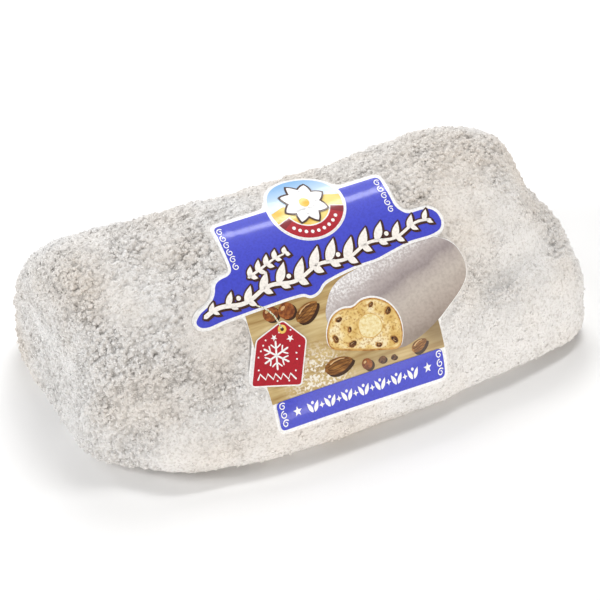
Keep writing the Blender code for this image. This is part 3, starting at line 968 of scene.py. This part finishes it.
marks.append(stroke(points, zigzag["width"]))
marks += [ring(dot, tag["dotRadius"], 1, 0, 10) for dot in tag["dots"]]
eyeletRadius, holeRadius = tag["eyeletRadii"]
layInk("tag_edge", 7, whiteInk, [grown(tagShape, tag["edge"])])
layInk("tag", 8, redInk, [tagShape])
layInk("tag_marks", 9, whiteInk, marks)
layInk("tag_eyelet", 9, goldInk, [ring(tag["eyelet"], eyeletRadius, 1, 0, 24)])
layInk("tag_eyelet_hole", 10, nutDarkPrint, [ring(tag["eyelet"], holeRadius, 1, 0, 14)])
layInk("tag_twine", 11, twinePrint, [stroke(tag["twine"], 0.5)])

# small white ornaments: scrolls down the sides, and a row of leaves and stars on the foot
ornament = {
    # x and y of the first scroll, and how many
    "scrolls": [(-32.3, 39.6, 6), (26.4, 39.6, 5), (-31.9, -21.2, 3), (26.4, -21.2, 3)],
    "scrollStep": 2.6, "scrollRadius": 1.2,
    "endStars": [(-27.2, -24.0), (21.6, -23.9)], "endStarRadius": 1.6,
    "sprouts": 7, "firstSprout": (-21.6, -25.8), "sproutStep": 6.25,
    "sproutLeaf": (3.6, 1.35), "sproutLean": 28, "bud": 0.5, "cross": 1.0,
}
ornaments = []
for x, y, count in ornament["scrolls"]:
    for step in range(count):
        turn = 90 if step % 2 else 40
        ornaments.append(curl((x, y - ornament["scrollStep"] * step), ornament["scrollRadius"],
                              turn, 1.15, 0.36))
ornaments += [star(place, ornament["endStarRadius"]) for place in ornament["endStars"]]
first, foot = ornament["firstSprout"]
for step in range(ornament["sprouts"]):
    x = first + ornament["sproutStep"] * step
    for side in (-1, 1):
        degrees = 90 - side * ornament["sproutLean"]
        ornaments.append(leaf((x + side * 0.3, foot), *ornament["sproutLeaf"], degrees))
    ornaments.append(ring((x, foot + 2.9), ornament["bud"], 1, 0, 12))
    if step < ornament["sprouts"] - 1:
        ornaments.append(star((x + 3.12, foot + 1.4), ornament["cross"], 4, 0.42))
layInk("ornaments", 7, whiteInk, ornaments)
print("label print")

# floor, lights and camera
stage = {
    "worldStrength": 0.26, "aim": (0, 0, 0.03),
    # watts, the size of its face in metres (along x, across), place, colour
    "lights": {
        "key": (1.2, (0.3, 0.3), (-0.55, 0.8, 0.65), "#FFFFFF"),
        "left": (6.4, (0.4, 0.4), (-1.0, 0.2, 0.55), "#FFFFFF"),
        "back": (5.5, (0.5, 0.4), (0.3, 0.72, 0.9), "#FFFFFF"),
        "overhead": (3.4, (0.4, 0.12), (0.34, 0.19, 0.97), "#FFFFFF"),
        "front": (4.2, (0.9, 0.5), (0.6, -1.0, 0.25), "#FFF8F0"),
        "front_low": (4.2, (1.0, 0.2), (-0.2, -1.1, 0.1), "#FFF8F0"),
    },
}
bpy.ops.object.select_all(action='DESELECT')
bpy.ops.mesh.primitive_plane_add(size=6)
floor = bpy.context.active_object
floor.name = "floor"
floor.data.materials.append(newMaterial(
    "white studio paper", Base_Color=linearColour("#FAFAFA"), Roughness=0.9)[0])

world = bpy.data.worlds.new("studio")
scene.world = world
world.use_nodes = True
background = world.node_tree.nodes["Background"]
background.inputs["Color"].default_value = (1, 1, 1, 1)
background.inputs["Strength"].default_value = stage["worldStrength"]


def addSoftbox(name, power, size, place, hexText):
    light = bpy.data.lights.new(name, 'AREA')
    light.shape = 'RECTANGLE'
    light.energy = power
    light.size, light.size_y = size
    light.color = linearColour(hexText)[:3]
    softbox = bpy.data.objects.new(name, light)
    softbox.location = place
    backwards = (Vector(place) - Vector(stage["aim"])).normalized()
    across = backwards.cross(Vector((1, 0, 0))).normalized()
    along = across.cross(backwards)
    softbox.rotation_euler = Matrix((along, across, backwards)).transposed().to_euler()
    scene.collection.objects.link(softbox)


for name, settings in stage["lights"].items():
    addSoftbox(name, *settings)

view = {"azimuth": -27.18, "elevation": 40.1, "distance": 1062.2, "lens": 182.4,
        "aimRight": -2.34, "aimUp": 18.5}
azimuth, elevation = math.radians(view["azimuth"]), math.radians(view["elevation"])
back = Vector((math.sin(azimuth) * math.cos(elevation),
               -math.cos(azimuth) * math.cos(elevation), math.sin(elevation)))
sideways = Vector((math.cos(azimuth), math.sin(azimuth), 0))
upwards = back.cross(sideways)
aim = labelZero + (sideways * view["aimRight"] + upwards * view["aimUp"]) * mm
camera = bpy.data.objects.new("camera", bpy.data.cameras.new("camera"))
camera.location = labelZero + back * view["distance"] * mm
camera.rotation_euler = (aim - camera.location).to_track_quat('-Z', 'Y').to_euler()
camera.data.lens = view["lens"]
camera.data.sensor_width = 36
scene.collection.objects.link(camera)
scene.camera = camera
scene.view_settings.view_transform = 'Standard'
